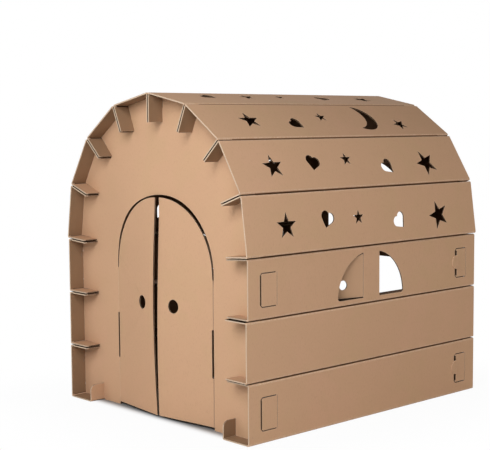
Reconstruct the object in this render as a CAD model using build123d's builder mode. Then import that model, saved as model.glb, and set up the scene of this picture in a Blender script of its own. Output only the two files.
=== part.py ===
# A child's playhouse of corrugated cardboard, standing on the floor.
# Fourteen folded planks run from end to end and close over the top as a round roof.
# Their flanges meet in pairs at every seam and half-lap into slots in two end walls.
# The front wall has an arched double door, the back wall an arched window with a cross of wide bars,
# and the third plank of each side a pair of quarter-round windows with swinging shutters.
#
# X runs across the house, Y from the door end to the back, Z up, in millimetres.
# The origin is on the floor in the middle. The left side is the right side turned half round.

from build123d import *
from math import cos, pi, radians, sin, tan
import os

os.makedirs("parts", exist_ok=True)

# Board and folding
board = 5.0
fold_radius = 6.0
seam_gap = 3.5
crease_gap = 0.5
cut_gap = 4.5
lock_gap = 3.5
fit_gap = 0.3
slot_play = 1.2
rest_chamfer = 3.0
score_width = 1.5
score_depth = 0.8

# House
house_half_width = 512.0
house_length = 1242.0
upright_planks = 3
upright_width = 210.0
roof_planks = 4
roof_turn = 23.5
roof_flare = 7.0
overhang = 63.0
planks_per_side = upright_planks + roof_planks

# Flanges along the planks, and the foot of the lowest plank
flange_depth = 107.0
lap_depth = 54.0
foot_depth = 132.0
lip_height = 65.0
lip_corner_radius = 22.0
slot_width = seam_gap + 2 * (board + slot_play)
lap_slant = radians(roof_turn / 2)
slot_depth = lap_depth / cos(lap_slant) + (seam_gap / 2 + board) * tan(lap_slant) + fit_gap

# Double door
door_radius = 276.0
door_arch_height = 540.0
door_slit_top = 531.0
door_floor_gap = 11.0
door_half_gap = 2.0
door_cut_low = 184.0
door_cut_high = 357.0
door_hole_diameter = 50.0
door_hole_height = 421.0
door_hole_inset = 80.0
left_door_ajar = 7.0
right_door_ajar = 4.0

# Windows of the third plank, measured from its middle and its lower edge
window_plank = 3
mullion_half = 44.0
window_sill = 21.0
window_reach = 180.0
window_radius = 166.5
window_arc_centre = (13.0, 22.0)
window_corner_radius = 12.0
shutter_hole_diameter = 35.0
shutter_hole_centre = (89.0, 73.0)
shutter_nearly_closed = 12.0
shutter_wide_open = 95.0

# Windows of the back wall: an arch with a cross of wide bars
back_mullion_half = 69.0
back_window_radius = 226.0
back_window_spring = 692.0
back_window_sill = 273.0
back_bar_low = 511.0
back_bar_high = 618.0

# Lock flaps of the first and third planks
lock_planks = (1, 3)
lock_setback = 8.0
lock_low = 43.0
lock_high = 157.0
lock_chamfer = 8.0
front_lock_edge = overhang
front_lock_end = 135.0
front_lock_opening = 7.0
back_lock_edge = 1117.0
back_lock_end = 1180.0
back_lock_opening = 13.0
lock_crease_offset = 6.0
lug_low = 78.0
lug_high = 131.0
lug_reach = 19.0
lug_rise = 3.0
dash_length = 16.0
front_dash_height = 117.0
back_dash_height = 138.0

# A star's inner points, as a share of its radius
star_waist = 0.4

# The tilt of each plank from upright
roof_tilts = [90 - roof_turn * (roof_planks - step - 0.5) for step in range(roof_planks)]
plank_tilts = [0.0] * upright_planks + roof_tilts

# At the foot of each plank and at the ridge, half the turn there and the slope of the seam
half_turns = [0.0]
seam_slopes = [0.0]
for below, above in zip(plank_tilts, plank_tilts[1:] + [180 - plank_tilts[-1]]):
    half_turns.append((above - below) / 2)
    seam_slopes.append((above + below) / 2)

# The roof stands out a little over the upright planks, and its planks close at the ridge
eaves_slope = radians(seam_slopes[upright_planks])
roof_half_width = house_half_width + roof_flare * cos(eaves_slope)
roof_width = roof_half_width / sum(sin(radians(tilt)) for tilt in roof_tilts)
plank_widths = [upright_width] * upright_planks + [roof_width] * roof_planks

# The lower and the upper corner of each plank in the cross-section
plank_feet = []
plank_tops = []
x, z = house_half_width, 0.0
for index, (tilt, width) in enumerate(zip(plank_tilts, plank_widths)):
    if index == upright_planks:
        x, z = roof_half_width, z + roof_flare * sin(eaves_slope)
    plank_feet.append((x, z))
    x, z = x - width * sin(radians(tilt)), z + width * cos(radians(tilt))
    plank_tops.append((x, z))

wall_distances = (overhang, house_length - overhang - board)
wall_face = house_length / 2 - overhang


# The outer face of a plank: x along the house from its own front end, y up the plank
def face_plane(side, number):
    tilt = radians(plank_tilts[number - 1])
    x, z = plank_feet[number - 1]
    return Plane(
        origin=(side * x, -side * house_length / 2, z),
        x_dir=(0, side, 0),
        z_dir=(side * cos(tilt), 0, sin(tilt)),
    )


# A cross-section of a plank: x up the plank, y outwards, at a distance along the house
def section_plane(side, number, distance):
    face = face_plane(side, number)
    return Plane(
        origin=face.origin + face.x_dir * distance,
        x_dir=face.y_dir,
        z_dir=face.x_dir,
    )


# The outer line of a plank's section, from the tip of its upper flange to that of its lower one
def section_points(number):
    low = radians(half_turns[number - 1])
    high = radians(half_turns[number])
    upper_fold = plank_widths[number - 1] - seam_gap / 2 / cos(high)
    points = [
        (upper_fold - flange_depth * sin(high), -flange_depth * cos(high)),
        (upper_fold, 0),
    ]
    if number == 1:
        points += [(0, 0), (0, -foot_depth), (lip_height, -foot_depth)]
    else:
        lower_fold = seam_gap / 2 / cos(low)
        points += [
            (lower_fold, 0),
            (lower_fold + flange_depth * sin(low), -flange_depth * cos(low)),
        ]
    return points


def star(radius):
    points = []
    for step in range(10):
        reach = star_waist * radius if step % 2 else radius
        angle = pi / 2 + step * pi / 5
        points.append((reach * cos(angle), reach * sin(angle)))
    with BuildSketch() as shape:
        with BuildLine():
            Polyline(*points, close=True)
        make_face()
    return shape.sketch


# A square standing on its corner, with a round lobe on each of its upper sides
def heart(square):
    lobe = square / 2 * cos(pi / 4)
    with BuildSketch() as shape:
        Rectangle(square, square, rotation=45)
        with Locations((-lobe, lobe), (lobe, lobe)):
            Circle(square / 2)
    return shape.sketch


def crescent(tip_distance, outer_bulge, inner_bulge):
    low_tip = (0, -tip_distance / 2)
    high_tip = (0, tip_distance / 2)
    with BuildSketch() as shape:
        with BuildLine():
            ThreePointArc(low_tip, (outer_bulge, 0), high_tip)
            ThreePointArc(high_tip, (inner_bulge, 0), low_tip)
        make_face()
    return shape.sketch


# One quarter-round window, x from the middle of the plank, or a shutter that fits it
def quarter_round(edge_gap, hinge_gap):
    with BuildSketch() as shape:
        with Locations(window_arc_centre):
            Circle(window_radius - edge_gap)
        with Locations((mullion_half + hinge_gap, window_sill + edge_gap)):
            Rectangle(
                window_reach - mullion_half,
                window_radius,
                align=(Align.MIN, Align.MIN),
                mode=Mode.INTERSECT,
            )
        fillet(shape.vertices().sort_by(Axis.X)[-1], radius=window_corner_radius)
    return shape.sketch


# The slit round three sides of a lock flap, with its corners cut off and its free edge stood open
def lock_slit(edge, end, opening):
    turn = edge + lock_chamfer
    with BuildSketch() as shape:
        with BuildLine():
            Polyline(
                (end, lock_high),
                (turn, lock_high),
                (edge, lock_high - lock_chamfer),
                (edge, lock_low + lock_chamfer),
                (turn, lock_low),
                (end, lock_low),
            )
        trace(line_width=lock_gap)
        with Locations((edge - lock_gap / 2, (lock_low + lock_high) / 2)):
            free_height = lock_high - lock_low - 2 * lock_chamfer
            Rectangle(opening, free_height, align=(Align.MIN, Align.CENTER))
    return shape.sketch


# The half-moon lug of a back lock flap, which laps over the face of its plank
def lock_lug():
    middle = (lug_low + lug_high) / 2
    root = back_lock_edge + back_lock_opening
    with BuildSketch() as shape:
        with BuildLine():
            ThreePointArc(
                (root, lug_low),
                (back_lock_edge - lug_reach, middle),
                (root, lug_high),
            )
            Line((root, lug_high), (root, lug_low))
        make_face()
    return shape.sketch


# Cut-outs of the roof planks: the shape, where its middle is, and how far it is turned
first_star = star(48)
small_star = star(28)
last_star = star(58)
middle_star = star(38)
full_heart = heart(38)
moon = crescent(146, 97, 45)
cutouts = {
    4: [
        (first_star, 194, 97, 0),
        (full_heart, 394, 103, -21),
        (small_star, 558, 105, 0),
        (full_heart, 787, 75, 38),
        (last_star, 1017, 87, 18),
    ],
    5: [
        (first_star, 197, 101, 2),
        (full_heart, 395, 104, -20),
        (small_star, 572, 118, 0),
        (full_heart, 786, 76, 36),
        (last_star, 1017, 88, 19),
    ],
    6: [
        (first_star, 225, 109, 0),
        (full_heart, 442, 82, 40),
        (small_star, 600, 127, 0),
        (moon, 793, 125, -19),
        (middle_star, 1009, 76, 18),
    ],
    7: [
        (full_heart, 226, 132, 35),
        (middle_star, 413, 136, 8),
        (small_star, 587, 140, 0),
        (full_heart, 803, 113, -30),
        (first_star, 1030, 108, 18),
    ],
}

window = quarter_round(0, 0)
shutter_blank = quarter_round(cut_gap, crease_gap)


def folded_plank(side, number):
    setback = lock_setback if number in lock_planks else 0
    width = plank_widths[number - 1]
    notch_low = width / 2 if number == 1 else -width / 2
    face = face_plane(side, number)
    with BuildPart() as plank:
        with BuildSketch(section_plane(side, number, setback)):
            with BuildLine() as outer_line:
                FilletPolyline(*section_points(number), radius=fold_radius)
                offset(outer_line.line, amount=board, side=Side.LEFT)
            make_face()
        extrude(amount=house_length - setback)

        # Notches across the flanges, where the end walls half-lap into them
        for distance in wall_distances:
            with BuildSketch(section_plane(side, number, distance - fit_gap)):
                with Locations((notch_low, -lap_depth)):
                    Rectangle(2 * width, flange_depth, align=(Align.MIN, Align.MAX))
            extrude(amount=board + 2 * fit_gap, mode=Mode.SUBTRACT)

        if number == 1:
            across = plank.edges().filter_by(Axis.X)
            lip_corners = across.filter_by(lambda edge: abs(edge.center().Z - lip_height) < board)
            fillet(lip_corners, radius=lip_corner_radius)

        if number in cutouts:
            with BuildSketch(face):
                for shape, along, up, turn in cutouts[number]:
                    with Locations((along, up)):
                        add(shape, rotation=turn)
            extrude(amount=-2 * board, mode=Mode.SUBTRACT)

        if number == window_plank:
            with BuildSketch(face):
                with Locations((house_length / 2, 0)):
                    add(window)
                    add(mirror(window, about=Plane.YZ, mode=Mode.PRIVATE))
            extrude(amount=-2 * board, mode=Mode.SUBTRACT)

        if number in lock_planks:
            with BuildSketch(face):
                add(lock_slit(front_lock_edge, front_lock_end, front_lock_opening))
                add(lock_slit(back_lock_edge, back_lock_end, back_lock_opening))
                with Locations((back_lock_edge, lug_low)):
                    Rectangle(
                        2 * back_lock_opening,
                        lug_high - lug_low,
                        align=(Align.CENTER, Align.MIN),
                        mode=Mode.SUBTRACT,
                    )
                with Locations(
                    (front_lock_end + lock_crease_offset, front_dash_height),
                    (back_lock_end + lock_crease_offset, back_dash_height),
                ):
                    Rectangle(score_width, dash_length)
            extrude(amount=-2 * board, mode=Mode.SUBTRACT)
            with BuildSketch(face):
                for end in (front_lock_end, back_lock_end):
                    with Locations((end + lock_crease_offset, (lock_low + lock_high) / 2)):
                        Rectangle(score_width, lock_high - lock_low)
            extrude(amount=-score_depth, mode=Mode.SUBTRACT)
            with BuildSketch(face):
                add(lock_lug())
            extrude(amount=lug_rise)
    return plank.part


# An end wall's outline: the inner faces of the planks, with a slot for the flanges of each seam
def wall_outline():
    bends = [(plank_feet[seam], seam) for seam in range(planks_per_side)]
    bends.insert(upright_planks, (plank_tops[upright_planks - 1], upright_planks))
    bends.append((plank_tops[-1], planks_per_side))
    inner_corners = []
    for (x, z), seam in bends:
        inset = board / cos(radians(half_turns[seam]))
        slope = radians(seam_slopes[seam])
        inner_corners.append((x - inset * cos(slope), z - inset * sin(slope)))
    mirrored = [(-x, z) for x, z in reversed(inner_corners[:-1])]
    with BuildSketch() as outline:
        with BuildLine():
            Polyline(*inner_corners, *mirrored, close=True)
        make_face()
        for side in (1, -1):
            for (x, z), slope in zip(plank_tops, seam_slopes[1:]):
                with Locations(Location((side * x, z, 0), (0, 0, side * slope))):
                    Rectangle(2 * slot_depth, slot_width, mode=Mode.SUBTRACT)
            foot_edge = side * (house_half_width - foot_depth / 2)
            with Locations((foot_edge, 0)):
                Rectangle(foot_depth + 2 * fit_gap, 2 * board, mode=Mode.SUBTRACT)
            lip_middle = side * (house_half_width - foot_depth + board / 2)
            with Locations((lip_middle, 0)):
                Rectangle(board + 2 * fit_gap, 2 * (lip_height + fit_gap), mode=Mode.SUBTRACT)
        rest_corners = outline.vertices().filter_by(lambda corner: abs(corner.Y - board) < fit_gap)
        chamfer(rest_corners, length=rest_chamfer)
    return outline.sketch


end_wall = wall_outline()

with BuildPart() as front_wall:
    with BuildSketch(Plane.XZ.offset(wall_face)):
        add(end_wall)
        Rectangle(2 * door_radius, 2 * door_arch_height, mode=Mode.SUBTRACT)
        with Locations((0, door_arch_height)):
            Circle(door_radius, mode=Mode.SUBTRACT)
    extrude(amount=-board)
front_wall.part.label = "front_wall"
export_step(front_wall.part, "parts/front_wall.step")

with BuildPart() as back_wall:
    with BuildSketch(Plane.XZ.offset(-wall_face)):
        add(end_wall)
        with BuildSketch(mode=Mode.PRIVATE) as back_window:
            with Locations((0, back_window_spring)):
                Circle(back_window_radius)
                Rectangle(
                    2 * back_window_radius,
                    back_window_spring - back_window_sill,
                    align=(Align.CENTER, Align.MAX),
                )
                Rectangle(2 * back_mullion_half, 4 * back_window_radius, mode=Mode.SUBTRACT)
            with Locations((0, back_bar_low)):
                Rectangle(
                    2 * back_window_radius,
                    back_bar_high - back_bar_low,
                    align=(Align.CENTER, Align.MIN),
                    mode=Mode.SUBTRACT,
                )
        add(back_window.sketch, mode=Mode.SUBTRACT)
    extrude(amount=board)
back_wall.part.label = "back_wall"
export_step(back_wall.part, "parts/back_wall.step")

for side, side_name in ((1, "right"), (-1, "left")):
    for number in range(1, planks_per_side + 1):
        plank = folded_plank(side, number)
        plank.label = f"{side_name}_plank_{number}"
        export_step(plank, f"parts/{plank.label}.step")

# Each door leaf is drawn in its own plane, x from its hinge line, and stands ajar
for side, side_name, ajar in ((1, "right", right_door_ajar), (-1, "left", left_door_ajar)):
    turn = radians(ajar)
    leaf_plane = Plane(
        origin=(side * door_radius, -wall_face, 0),
        x_dir=(-side * cos(turn), -sin(turn), 0),
        z_dir=(-sin(turn), side * cos(turn), 0),
    )
    leaf_width = door_radius - door_half_gap
    leaf_radius = door_radius - cut_gap
    with BuildPart() as door:
        with BuildSketch(leaf_plane):
            with Locations((door_radius, door_arch_height)):
                Circle(leaf_radius)
            with Locations((crease_gap, door_slit_top)):
                Rectangle(
                    leaf_width - crease_gap,
                    door_radius * 2,
                    align=Align.MIN,
                    mode=Mode.INTERSECT,
                )
            with Locations((crease_gap, door_floor_gap)):
                Rectangle(
                    leaf_width - crease_gap,
                    door_slit_top - door_floor_gap,
                    align=Align.MIN,
                )
            with Locations((0, door_cut_low)):
                Rectangle(
                    cut_gap,
                    door_cut_high - door_cut_low,
                    align=Align.MIN,
                    mode=Mode.SUBTRACT,
                )
            with Locations((leaf_width - door_hole_inset, door_hole_height)):
                Circle(door_hole_diameter / 2, mode=Mode.SUBTRACT)
        extrude(amount=side * board)
    door.part.label = f"{side_name}_door"
    export_step(door.part, f"parts/{door.part.label}.step")

# Each shutter is drawn the same way, and swings inwards from the mullion edge of its window
shutter_hinge_x = house_half_width - board
shutter_lift = upright_width * (window_plank - 1)
shutter_sides = (
    (1, -1, "right_front", shutter_nearly_closed),
    (1, 1, "right_rear", shutter_wide_open),
    (-1, 1, "left_rear", shutter_nearly_closed),
    (-1, -1, "left_front", shutter_wide_open),
)
for side, end, place, swing in shutter_sides:
    turn = radians(swing)
    shutter_plane = Plane(
        origin=(side * shutter_hinge_x, end * mullion_half, shutter_lift),
        x_dir=(-side * sin(turn), end * cos(turn), 0),
        z_dir=(end * cos(turn), side * sin(turn), 0),
    )
    with BuildPart() as shutter:
        with BuildSketch(shutter_plane):
            with Locations((-mullion_half, 0)):
                add(shutter_blank)
            with Locations(shutter_hole_centre):
                Circle(shutter_hole_diameter / 2, mode=Mode.SUBTRACT)
        extrude(amount=side * end * board)
    shutter.part.label = f"{place}_shutter"
    export_step(shutter.part, f"parts/{shutter.part.label}.step")
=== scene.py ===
import bpy
import math
from mathutils import Matrix, Vector


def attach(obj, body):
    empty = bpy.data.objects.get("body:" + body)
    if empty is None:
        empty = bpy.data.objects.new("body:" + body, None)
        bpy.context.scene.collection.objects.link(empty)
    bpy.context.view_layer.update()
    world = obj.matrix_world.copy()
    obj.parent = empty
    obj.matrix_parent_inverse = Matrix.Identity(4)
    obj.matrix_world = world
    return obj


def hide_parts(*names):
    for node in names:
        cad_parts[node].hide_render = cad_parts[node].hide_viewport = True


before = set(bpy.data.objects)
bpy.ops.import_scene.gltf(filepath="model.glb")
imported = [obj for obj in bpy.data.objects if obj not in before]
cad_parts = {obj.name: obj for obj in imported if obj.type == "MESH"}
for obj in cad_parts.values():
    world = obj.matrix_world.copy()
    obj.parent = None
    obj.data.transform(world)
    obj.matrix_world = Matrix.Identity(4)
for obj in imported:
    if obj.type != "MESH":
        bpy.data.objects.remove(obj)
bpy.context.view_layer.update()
print("frame loaded,", len(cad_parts), "nodes")

# the sheet and the house that it makes, in metres and degrees
board = {
    "thickness": 0.005,
    "liner": 0.0004,
    "linerEdge": 0.0006,
    "flutePitch": 0.0078,
    "fluteHeight": 0.0021,
}
house = {
    "halfWidth": 0.512,
    "uprightWidth": 0.21,
    "uprightPlanks": 3,
    "roofPlanks": 4,
    "roofTurn": 23.5,
    "roofFlare": 0.007,
    "seamGap": 0.0035,
    "footDepth": 0.132,
    "halfLength": 0.621,
    "shelfPlanks": (2, 3, 4, 5),
}

# where a plank's marks begin and end: pairs of distances in metres, the last pair in sheet thicknesses
marks = {
    "fold": (0.0098, 0.007),
    "seamFace": (0.0008, 0.0004),
    "flangeFaces": (0.004, 0.009),
    "plankEnd": (0.609, 0.6125),
    "flangeTip": (0.085, 0.09),
    "room": (0.556, 0.554),
    "shelfTop": (0.0075, 0.0055),
    "pastFace": (0.006, 0.008),
    "middle": (0.4, 0.6),
}


# one socket of a material, so that shader maths reads as plain expressions
class Wire:
    def __init__(self, tree, socket):
        self.tree = tree
        self.socket = socket

    def node(self, kind, settings=None, inputs=None, output=0):
        made = self.tree.nodes.new(kind)
        for key, value in (settings or {}).items():
            setattr(made, key, value)
        for key, value in (inputs or {}).items():
            if isinstance(value, Wire):
                self.tree.links.new(value.socket, made.inputs[key])
            else:
                made.inputs[key].default_value = value
        return Wire(self.tree, made.outputs[output])

    def maths(self, operation, first, second=0.0):
        return self.node("ShaderNodeMath", {"operation": operation}, {0: first, 1: second})

    def __add__(self, other):
        return self.maths("ADD", self, other)

    def __radd__(self, other):
        return self.maths("ADD", other, self)

    def __sub__(self, other):
        return self.maths("SUBTRACT", self, other)

    def __rsub__(self, other):
        return self.maths("SUBTRACT", other, self)

    def __mul__(self, other):
        return self.maths("MULTIPLY", self, other)

    def __rmul__(self, other):
        return self.maths("MULTIPLY", other, self)

    def __abs__(self):
        return self.maths("ABSOLUTE", self)

    def least(self, other):
        return self.maths("MINIMUM", self, other)

    def most(self, other):
        return self.maths("MAXIMUM", self, other)

    def sine(self):
        return self.maths("SINE", self)

    def ramp(self, start, end):  # 0 at start, 1 at end, and smooth between
        return self.node(
            "ShaderNodeMapRange",
            {"interpolation_type": "SMOOTHSTEP", "clamp": True},
            {"Value": self, "From Min": start, "From Max": end, "To Min": 0.0, "To Max": 1.0},
        )

    def along(self, direction):
        return self.node(
            "ShaderNodeVectorMath", {"operation": "DOT_PRODUCT"}, {0: self, 1: direction}, "Value"
        )

    def stretched(self, scale):
        return self.node("ShaderNodeVectorMath", {"operation": "MULTIPLY"}, {0: self, 1: scale})

    def mottle(self, scale, detail, roughness=0.5):
        return self.node(
            "ShaderNodeTexNoise",
            {},
            {"Vector": self, "Scale": scale, "Detail": detail, "Roughness": roughness},
        )

    def blend(self, first, second):  # this wire is the factor between two colours
        return self.node(
            "ShaderNodeMix", {"data_type": "RGBA"}, {"Factor": self, 6: first, 7: second}, 2
        )

    def toOutput(self, kind):
        output = self.tree.nodes.new(kind)
        self.tree.links.new(self.socket, output.inputs["Surface"])


# 0 on the outer half of the sheet and 1 on its inner half
def innerHalf(depth):
    low, high = marks["middle"]
    return depth.ramp(board["thickness"] * low, board["thickness"] * high)


# depth into the sheet, and the coordinate across its flutes, for a flat piece
def flatSheet(place, normal, face, acrossFlutes, hasInside):
    depth = abs(place.along(normal) - Vector(normal).dot(Vector(face)))
    sheet = {"depth": depth, "across": place.along(acrossFlutes), "inner": kraft["innerLiner"]}
    if hasInside:
        sheet["inside"] = innerHalf(depth)
    return sheet


# the same for a folded plank, where the depth is the least of the depths under its faces
def foldedSheet(place, side, number):
    plank = plankSections()[number - 1]
    tilt = math.radians(plank["tilt"])
    upDirection = Vector((-side * math.sin(tilt), 0, math.cos(tilt)))
    outDirection = Vector((side * math.cos(tilt), 0, math.sin(tilt)))
    origin = Vector((side * plank["foot"][0], 0, plank["foot"][1]))
    up = place.along(upDirection) - upDirection.dot(origin)
    inwards = outDirection.dot(origin) - place.along(outDirection)
    low, high = math.radians(plank["lowTurn"]), math.radians(plank["highTurn"])
    down = plank["width"] - up
    highDepth = down * math.cos(high) - inwards * math.sin(high) - house["seamGap"] / 2
    depth = inwards.least(highDepth)
    joinDepth = highDepth
    if number == 1:
        depth = depth.least(up).least(house["footDepth"] - inwards)
    else:
        lowDepth = up * math.cos(low) - inwards * math.sin(low) - house["seamGap"] / 2
        depth = depth.least(lowDepth)
        joinDepth = joinDepth.least(lowDepth)
    fold = inwards.most(up.least(down)).ramp(*marks["fold"])
    along = place.along((0, 1, 0))
    # the flange faces that meet in a seam carry painted shade as a joint, the plank's own two ends count
    # as an end
    sheet = {
        "depth": depth * (1 - fold),
        "across": along,
        "fold": fold,
        "joint": joinDepth.ramp(*marks["seamFace"]) * inwards.ramp(*marks["flangeFaces"]),
        "end": abs(along).ramp(*marks["plankEnd"]),
        "tip": inwards.ramp(*marks["flangeTip"]),
        "inside": innerHalf(inwards) * abs(along).ramp(*marks["room"]),
        # painted shade on a plank's inner faces, with the lit inner liner kept on up-facing flanges
        "inner": kraft["shadedLiner"],
    }
    if number in house["shelfPlanks"]:  # only these have a flange whose inner face looks up at the light
        shelf = lowDepth.ramp(*marks["shelfTop"]) * inwards.ramp(*marks["pastFace"])
        sheet["inner"] = shelf.blend(kraft["shadedLiner"], kraft["innerLiner"])
    return sheet


# the cross-section: where each plank starts, how wide it is, and how it is turned
def plankSections():
    tilts = [0.0] * house["uprightPlanks"]
    for step in range(house["roofPlanks"]):
        tilts.append(90 - house["roofTurn"] * (house["roofPlanks"] - step - 0.5))
    following = tilts[1:] + [180 - tilts[-1]]
    turns = [0.0] + [(after - before) / 2 for before, after in zip(tilts, following)]
    eaves = math.radians(turns[house["uprightPlanks"]])
    roofHalf = house["halfWidth"] + house["roofFlare"] * math.cos(eaves)
    roofWidth = roofHalf / sum(math.sin(math.radians(tilt)) for tilt in tilts)
    x, z = house["halfWidth"], 0.0
    sections = []
    for index, tilt in enumerate(tilts):
        if index == house["uprightPlanks"]:
            x, z = roofHalf, z + house["roofFlare"] * math.sin(eaves)
        width = house["uprightWidth"] if index < house["uprightPlanks"] else roofWidth
        sections.append(
            {
                "foot": (x, z),
                "width": width,
                "tilt": tilt,
                "lowTurn": turns[index],
                "highTurn": turns[index + 1],
            }
        )
        x, z = x - width * math.sin(math.radians(tilt)), z + width * math.cos(math.radians(tilt))
    return sections


kraft = {
    "liner": (0.572, 0.336, 0.195, 1),
    "pinkLiner": (0.584, 0.338, 0.200, 1),
    "yellowLiner": (0.560, 0.337, 0.190, 1),
    "fibre": (0.440, 0.250, 0.138, 1),
    "paleWearAndHighlight": (0.780, 0.600, 0.430, 1),
    "innerLiner": (0.500, 0.295, 0.170, 1),
    "shadedLiner": (0.280, 0.165, 0.090, 1),
    "creaseShade": (0.300, 0.170, 0.100, 1),
    "endPale": (0.640, 0.470, 0.325, 1),
    "flute": (0.600, 0.440, 0.300, 1),
    "hollow": (0.160, 0.090, 0.050, 1),
    "cutShade": (0.060, 0.030, 0.014, 1),
    "jointShade": (0.030, 0.014, 0.007, 1),
    "insideShade": (0.300, 0.165, 0.090, 1),
    "blotchScale": 2.3,
    "blotchSpread": (0.35, 0.65),
    "patchScale": 11.5,
    "patchSpread": (0.4, 0.6),
    "fineDetail": 4.0,
    "patchDetail": 3.0,
    "speckDetail": 2.0,
    "fibreRoughness": 0.65,
    "fibreScale": 260.0,
    "fibreSpread": (0.52, 0.72),
    "fibreStrength": 0.35,
    "speckScale": 676.0,
    "speckSpread": (0.62, 0.72),
    "speckStrength": 0.25,
    "foldWear": 0.4,
    "rimSamples": 6,
    "rimWidth": 0.0024,
    "rimTurn": (0.985, 0.9),
    "rimStrength": 0.45,
    "fluteEdge": (0.00088, 0.0004),
    "fluteShine": 0.35,
    "roughness": 0.9,
    "roughSpread": 0.1,
    "specular": 0.12,
}
# heights of the relief, in metres
relief = {"rib": 0.00002, "fibre": 0.0001, "blotch": 0.002, "hollow": 0.0012, "strength": 0.9}


# brown liner board all over, the fluted core wherever the sheet is cut, and a pale rim at every edge,
# partly worn fibre and partly a painted highlight; painted shade lies in the cut core, the seams, the
# crease and on the inner faces
def boardMaterial(name, sheetCoordinates, fluteAxis, seed, sprung=False):
    material = bpy.data.materials.new(name)
    material.use_nodes = True
    tree = material.node_tree
    tree.nodes.clear()
    start = Wire(tree, None)
    if sprung:
        place = start.node("ShaderNodeAttribute", {"attribute_name": "flatPlace"}, output="Vector")
    else:
        place = start.node("ShaderNodeTexCoord", output="Object")
    sheet = sheetCoordinates(place)
    depth, across = sheet["depth"], sheet["across"]
    shift = (seed, 2 * seed, 3 * seed)
    shifted = start.node("ShaderNodeVectorMath", {"operation": "ADD"}, {0: place, 1: shift})

    blotch = shifted.mottle(kraft["blotchScale"], kraft["fineDetail"])
    stretched = shifted.stretched(fluteAxis)
    fibre = stretched.mottle(kraft["fibreScale"], kraft["fineDetail"], kraft["fibreRoughness"])
    speck = shifted.mottle(kraft["speckScale"], kraft["speckDetail"])
    patch = shifted.mottle(kraft["patchScale"], kraft["patchDetail"])
    liner = blotch.ramp(*kraft["blotchSpread"]).blend(kraft["pinkLiner"], kraft["yellowLiner"])
    liner = patch.ramp(*kraft["patchSpread"]).blend(liner, kraft["liner"])
    strands = fibre.ramp(*kraft["fibreSpread"]) * kraft["fibreStrength"]
    specks = speck.ramp(*kraft["speckSpread"]) * kraft["speckStrength"]
    liner = (strands + specks).blend(liner, kraft["fibre"])
    if "fold" in sheet:
        wear = sheet["fold"] * fibre.ramp(*kraft["blotchSpread"]) * kraft["foldWear"]
        liner = wear.blend(liner, kraft["paleWearAndHighlight"])

    # a bevelled normal leaves the true one only beside an edge, where the pale rim is partly bared
    # fibres and partly a painted highlight of edges catching the light
    flat = start.node("ShaderNodeNewGeometry", output="Normal")
    samples = {"samples": kraft["rimSamples"]}
    bevelled = start.node("ShaderNodeBevel", samples, {"Radius": kraft["rimWidth"]})
    rim = bevelled.along(flat).ramp(*kraft["rimTurn"]) * kraft["rimStrength"]

    # between the two liners runs the wavy core; between its flutes the cut face carries painted shade,
    # near black, and a lighter painted shade in the hollows at the flange tips
    core = depth.ramp(board["liner"], board["linerEdge"])
    core = core * (board["thickness"] - depth).ramp(board["liner"], board["linerEdge"])
    wave = (across * (2 * math.pi / board["flutePitch"])).sine()
    offset = abs(depth - board["thickness"] / 2 - wave * board["fluteHeight"])
    flute = offset.ramp(*kraft["fluteEdge"])
    cut = (flute * kraft["fluteShine"]).blend(kraft["cutShade"], kraft["flute"])
    if "end" in sheet:
        cut = sheet["tip"].blend(cut, flute.blend(kraft["hollow"], kraft["flute"]))
        cut = sheet["end"].blend(cut, kraft["endPale"])
    liner = innerHalf(depth).blend(liner, sheet["inner"])
    colour = core.blend(rim.blend(liner, kraft["paleWearAndHighlight"]), cut)
    if "crease" in sheet:
        colour = sheet["crease"].blend(colour, kraft["creaseShade"])
    # painted shade, near black, on the flange faces inside a seam
    if "joint" in sheet:
        colour = sheet["joint"].blend(colour, kraft["jointShade"])
    # painted shade on the inner half of the board inside the house
    if "inside" in sheet:
        colour = (sheet["inside"] * (1 - core)).blend(colour, kraft["insideShade"])

    height = wave * relief["rib"] + fibre * relief["fibre"] + blotch * relief["blotch"]
    height = height - core * (1 - flute) * relief["hollow"]
    bump = start.node(
        "ShaderNodeBump", {}, {"Height": height, "Distance": 1.0, "Strength": relief["strength"]}
    )
    shader = start.node(
        "ShaderNodeBsdfPrincipled",
        {},
        {
            "Base Color": colour,
            "Roughness": kraft["roughness"] + fibre * kraft["roughSpread"],
            "Specular IOR Level": kraft["specular"],
            "Normal": bump,
        },
    )
    shader.toOutput("ShaderNodeOutputMaterial")
    return material


def dress(target, material):
    target.data.materials.clear()
    target.data.materials.append(material)


# planks: the flutes run across them, so their ribs follow one another along the house
strandStretch = {"planks": (0.35, 1.0, 0.35), "flat": (1.0, 1.0, 0.35)}
seeds = {"plank": 1.7, "side": 0.9, "flatStart": 20.0, "flat": 2.3}
for side, sideName in ((1, "right"), (-1, "left")):
    for number in range(1, house["uprightPlanks"] + house["roofPlanks"] + 1):
        name = f"{sideName}_plank_{number}"
        material = boardMaterial(
            name + "_board",
            lambda place, side=side, number=number: foldedSheet(place, side, number),
            strandStretch["planks"],
            number * seeds["plank"] + side * seeds["side"],
        )
        dress(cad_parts[name], material)
print("planks dressed")

# board that has sprung out of its plane: the front wall round its arch, and the free edges of the leaves
wallBulge = {
    "reach": 0.020,
    "middle": (-0.150, 0.790),
    "spread": 0.170,
    "low": 0.550,
    "high": 0.640,
}
leafBows = {
    "left_door": {"side": -1, "ajar": 7.0, "reach": 0.0135, "middle": 0.40, "half": 0.40, "slit": 0.001},
    "right_door": {"side": 1, "ajar": 4.0, "reach": 0.016, "middle": 0.25, "half": 0.50, "slit": 0.006},
}
leafHinge = {"x": 0.276, "y": -0.558, "width": 0.274}
# the round cut above the leaves and the straight slits at their hinges, both stood a little open
doorway = {
    "radius": 0.276,
    "spring": 0.540,
    "band": 0.020,
    "rimOpen": 0.0035,
    "rimTurn": 55.0,
    "leafOpen": 0.002,
    "leafAbove": 0.001,
}
hingeSlit = {"low": 0.185, "high": 0.356, "band": 0.020, "wallOpen": 0.004}


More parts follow.
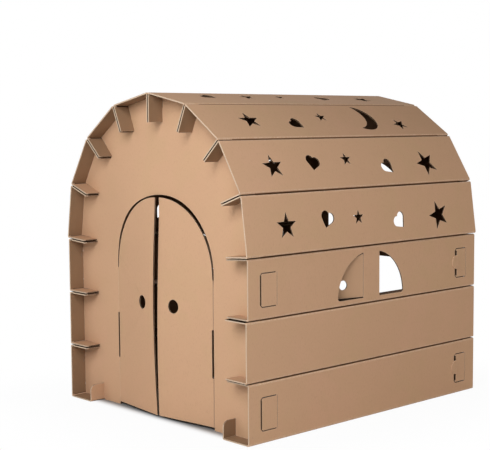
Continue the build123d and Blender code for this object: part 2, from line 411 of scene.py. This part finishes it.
def wallPush(point):
    middle = Vector((wallBulge["middle"][0], 0, wallBulge["middle"][1]))
    away = Vector((point.x, 0, point.z)) - middle
    share = math.exp(-away.length_squared / wallBulge["spread"] ** 2)
    # no bulge beside the hinge, where the open leaf lies close to the wall
    share *= min(max((point.z - wallBulge["low"]) / (wallBulge["high"] - wallBulge["low"]), 0), 1)
    push = Vector((0, -wallBulge["reach"] * share, 0))
    fromSpring = Vector((point.x, 0, point.z - doorway["spring"]))
    if fromSpring.z > 0 and fromSpring.length < doorway["radius"] + doorway["band"]:
        turn = math.atan2(fromSpring.z, fromSpring.x) - math.radians(doorway["rimTurn"])
        push += doorway["rimOpen"] * max(math.cos(turn), 0) * fromSpring.normalized()
    fromSlit = abs(point.x + leafHinge["x"])
    if hingeSlit["low"] < point.z < hingeSlit["high"] and fromSlit < hingeSlit["band"]:
        push.x -= hingeSlit["wallOpen"]
    return push


def leafPush(point, bow):
    turn = math.radians(bow["ajar"])
    fromHinge = Vector((point.x - bow["side"] * leafHinge["x"], point.y - leafHinge["y"], 0))
    along = Vector((-bow["side"] * math.cos(turn), -math.sin(turn), 0))
    distance = fromHinge.dot(along)
    reach = min(max(distance / leafHinge["width"], 0), 1)
    height = min(abs(point.z - bow["middle"]) / bow["half"], 1)
    share = reach * reach * (3 - 2 * reach) * math.cos(height * math.pi / 2)
    push = bow["reach"] * share * Vector((bow["side"] * math.sin(turn), -math.cos(turn), 0))
    fromSpring = (distance - doorway["radius"]) * along + Vector((0, 0, point.z - doorway["spring"]))
    if fromSpring.z > doorway["leafAbove"] and fromSpring.length > doorway["radius"] - doorway["band"]:
        push -= doorway["leafOpen"] * fromSpring.normalized()
    if hingeSlit["low"] < point.z < hingeSlit["high"] and distance < hingeSlit["band"]:
        push += bow["slit"] * along
    return push


# cuts across a sheet, about a step apart between two places, with a pair close together at a slit's ends
xAxis, zAxis = (1, 0, 0), (0, 0, 1)
slitCuts = (zAxis, 0.186, 0.355)
grids = {
    "front_wall": {
        "step": 0.03,
        "cuts": [(xAxis, -0.51, 0.21), (zAxis, 0.18, 0.361), slitCuts, (zAxis, 0.45, 1.11)],
    },
    "left_door": {"step": 0.04, "cuts": [(xAxis, -0.26, -0.02), (zAxis, 0.04, 0.76), slitCuts]},
    "right_door": {"step": 0.04, "cuts": [(xAxis, 0.02, 0.26), (zAxis, 0.04, 0.76), slitCuts]},
}
joining = {"mergeDistance": 0.00002, "smoothAngle": 25.0}


# a copy of a node, cut into a grid and pushed out point by point, which remembers where it lay flat
def springOut(name, body, grid, push):
    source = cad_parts[name]
    bpy.ops.object.select_all(action="DESELECT")
    source.select_set(True)
    bpy.context.view_layer.objects.active = source
    bpy.ops.object.duplicate()
    piece = bpy.context.object
    piece.name = name + "_sprung"
    bpy.ops.object.mode_set(mode="EDIT")
    bpy.ops.mesh.select_all(action="SELECT")
    bpy.ops.mesh.remove_doubles(threshold=joining["mergeDistance"])
    for direction, low, high in grid["cuts"]:
        count = round((high - low) / grid["step"])
        for number in range(count + 1):
            bpy.ops.mesh.select_all(action="SELECT")
            distance = low + (high - low) * number / count
            bpy.ops.mesh.bisect(plane_co=Vector(direction) * distance, plane_no=direction)
    bpy.ops.object.mode_set(mode="OBJECT")
    flatPlace = piece.data.attributes.new("flatPlace", "FLOAT_VECTOR", "POINT")
    for vertex, kept in zip(piece.data.vertices, flatPlace.data):
        kept.vector = vertex.co
        vertex.co += push(vertex.co)
    bpy.ops.object.shade_smooth_by_angle(angle=math.radians(joining["smoothAngle"]))
    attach(piece, body)
    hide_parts(name)
    return piece


sprungPieces = {
    "front_wall": springOut("front_wall", "house", grids["front_wall"], wallPush),
    "left_door": springOut(
        "left_door",
        "left_leaf",
        grids["left_door"],
        lambda point: leafPush(point, leafBows["left_door"]),
    ),
    "right_door": springOut(
        "right_door",
        "right_leaf",
        grids["right_door"],
        lambda point: leafPush(point, leafBows["right_door"]),
    ),
}
print("front wall and door leaves sprung")

# flat pieces: a point of the outer face, its turn, and whether the back is only seen from inside
flatPieces = {
    "front_wall": {"face": (0, -0.558, 0), "turn": 0.0, "hasInside": True},
    "back_wall": {"face": (0, 0.558, 0), "turn": 180.0, "hasInside": True},
    "left_door": {"face": (-0.276, -0.558, 0), "turn": -7.0, "hasInside": False},
    "right_door": {"face": (0.276, -0.558, 0), "turn": 4.0, "hasInside": False, "crease": 0.7},
    "right_front_shutter": {"face": (0.507, -0.044, 0), "turn": -102.0, "hasInside": False},
    "right_rear_shutter": {"face": (0.507, 0.044, 0), "turn": -175.0, "hasInside": False},
    "left_rear_shutter": {"face": (-0.507, 0.044, 0), "turn": 78.0, "hasInside": False},
    "left_front_shutter": {"face": (-0.507, -0.044, 0), "turn": 5.0, "hasInside": False},
}
creaseReach = (0.006, 0.003)


def flatMaterial(name, piece, seed):
    turn = math.radians(piece["turn"])
    inwards = Vector((-math.sin(turn), math.cos(turn), 0))
    acrossFlutes = Vector((math.cos(turn), math.sin(turn), 0))

    def coordinates(place):
        sheet = flatSheet(place, inwards, piece["face"], acrossFlutes, piece["hasInside"])
        # painted shade: a dark line along the hinge crease
        if "crease" in piece:  # a darkened line at the hinge
            fromHinge = abs(sheet["across"] - acrossFlutes.dot(Vector(piece["face"])))
            sheet["crease"] = fromHinge.ramp(*creaseReach) * piece["crease"]
        return sheet

    return boardMaterial(name + "_board", coordinates, strandStretch["flat"], seed, name in sprungPieces)


for count, (name, piece) in enumerate(flatPieces.items()):
    target = sprungPieces.get(name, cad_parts[name])
    dress(target, flatMaterial(name, piece, seeds["flatStart"] + count * seeds["flat"]))
print("walls, doors and shutters dressed")

# the floor keeps the soft shadow close to the house and turns white away from it; under the house it is
# painted dark as shade and does not glow
stage = {
    "reach": 60.0,
    "white": (0.86, 0.86, 0.86, 1),
    "underHouse": (0.30, 0.28, 0.26, 1),
    "nearGlow": 0.95,
    "farGlow": 1.0,
    "fade": 0.6,
    "drop": 0.0005,
    "shadeReach": 0.06,
}
bpy.ops.object.select_all(action="DESELECT")
bpy.ops.mesh.primitive_plane_add(size=stage["reach"], location=(0, 0, -stage["drop"]))
floor = bpy.context.object
floor.name = "floor"
floorMaterial = bpy.data.materials.new("floor_white")
floorMaterial.use_nodes = True
floorTree = floorMaterial.node_tree
floorTree.nodes.clear()
floorStart = Wire(floorTree, None)
ground = floorStart.node("ShaderNodeTexCoord", output="Object")
pastSides = abs(ground.along((1, 0, 0))) - house["halfWidth"]
pastEnds = abs(ground.along((0, 1, 0))) - house["halfLength"]
outside = pastSides.most(pastEnds)
gain = outside.ramp(0.0, stage["fade"]) * (stage["farGlow"] - stage["nearGlow"])
covered = outside.ramp(0.0, -stage["shadeReach"])
glowShare = (stage["nearGlow"] + gain) * (1 - covered)
floorColour = covered.blend(stage["white"], stage["underHouse"])
lit = floorStart.node("ShaderNodeBsdfDiffuse", {}, {"Color": floorColour})
glow = floorStart.node("ShaderNodeEmission", {}, {"Color": (1, 1, 1, 1), "Strength": 1.0})
seen = floorStart.node("ShaderNodeLightPath", output="Is Camera Ray")
floorShader = floorStart.node("ShaderNodeMixShader", {}, {0: seen * glowShare, 1: lit, 2: glow})
floorShader.toOutput("ShaderNodeOutputMaterial")
floor.data.materials.append(floorMaterial)

# a soft key at the front right, lamps at the front left, the right and behind, and even daylight
lamps = {
    "key": {"place": (1.6, -3.0, 2.4), "size": 2.0, "power": 106.0, "colour": (0.97, 1.03, 1.11)},
    "front_left": {"place": (-2.8, -4.8, 2.4), "size": 3.0, "power": 50.0, "colour": (1.0, 1.0, 1.0)},
    "right": {"place": (4.6, 1.0, 1.3), "size": 2.6, "power": 40.0, "colour": (1.0, 1.0, 1.0)},
    "behind": {"place": (-3.4, 4.0, 2.4), "size": 2.6, "power": 150.0, "colour": (1.0, 1.0, 1.0)},
}
daylight = {"colour": (1, 1, 1, 1), "strength": 0.12}
aim = Vector((0, 0, 0.55))
for name, lamp in lamps.items():
    bpy.ops.object.light_add(type="AREA", location=lamp["place"])
    light = bpy.context.object
    light.name = name
    light.data.size = lamp["size"]
    light.data.energy = lamp["power"]
    light.data.color = lamp["colour"]
    light.rotation_euler = (aim - Vector(lamp["place"])).to_track_quat("-Z", "Y").to_euler()

world = bpy.data.worlds.new("studio")
bpy.context.scene.world = world
world.use_nodes = True
worldTree = world.node_tree
worldTree.nodes.clear()
worldStart = Wire(worldTree, None)
toCamera = worldStart.node("ShaderNodeLightPath", output="Is Camera Ray")
even = worldStart.node(
    "ShaderNodeBackground", {}, {"Color": daylight["colour"], "Strength": daylight["strength"]}
)
white = worldStart.node("ShaderNodeBackground", {}, {"Color": (1, 1, 1, 1), "Strength": 1.0})
worldShader = worldStart.node("ShaderNodeMixShader", {}, {0: toCamera, 1: even, 2: white})
worldShader.toOutput("ShaderNodeOutputWorld")

# the camera stands where the photograph was taken from
view = {
    "azimuth": 47.37,
    "elevation": 5.03,
    "roll": -0.40,
    "distance": 4.7145,
    "aim": (-0.16653, 0.0, 0.66213),
    "focalPixels": 1161.2,
    "widthPixels": 490,
    "sensorWidth": 36.0,
}
azimuth, elevation, roll = (math.radians(view[key]) for key in ("azimuth", "elevation", "roll"))
towardsCamera = Vector(
    (
        math.sin(azimuth) * math.cos(elevation),
        -math.cos(azimuth) * math.cos(elevation),
        math.sin(elevation),
    )
)
rightward = Vector((math.cos(azimuth), math.sin(azimuth), 0))
upward = towardsCamera.cross(rightward)
rolledRight = math.cos(roll) * rightward + math.sin(roll) * upward
rolledUp = -math.sin(roll) * rightward + math.cos(roll) * upward
bpy.ops.object.camera_add()
camera = bpy.context.object
camera.data.sensor_width = view["sensorWidth"]
camera.data.sensor_fit = "HORIZONTAL"
camera.data.lens = view["focalPixels"] * view["sensorWidth"] / view["widthPixels"]
turned = Matrix((rolledRight, rolledUp, towardsCamera)).transposed().to_4x4()
camera.matrix_world = Matrix.Translation(Vector(view["aim"]) + view["distance"] * towardsCamera) @ turned
bpy.context.scene.camera = camera
bpy.context.scene.view_settings.view_transform = "Standard"
print("camera and lamps set")
